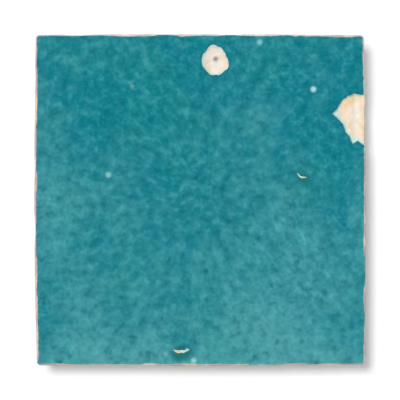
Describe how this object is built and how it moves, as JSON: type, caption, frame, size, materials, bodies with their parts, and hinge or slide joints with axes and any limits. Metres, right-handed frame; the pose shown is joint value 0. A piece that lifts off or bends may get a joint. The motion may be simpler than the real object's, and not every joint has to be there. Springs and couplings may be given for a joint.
{
  "type": "zellige tile",
  "caption": "Hand-cut square terracotta tile with a waved turquoise glaze face, hammered undercut sides, a chipped arris, a lime crater and pits.",
  "frame": {"origin": "centre of the tile's outline on the plane of its flat back, which lies on the floor", "axes": "+Z out of the glazed face, +Y to the top of the face as the picture shows it, +X to its right"},
  "size_m": [0.1, 0.1, 0.012],
  "materials": {
    "glazed_terracotta": "glossy mottled turquoise glaze over cream terracotta"
  },
  "bodies": {
    "root": {"zellige_tile": "glazed_terracotta"}
  },
  "joints": []
}
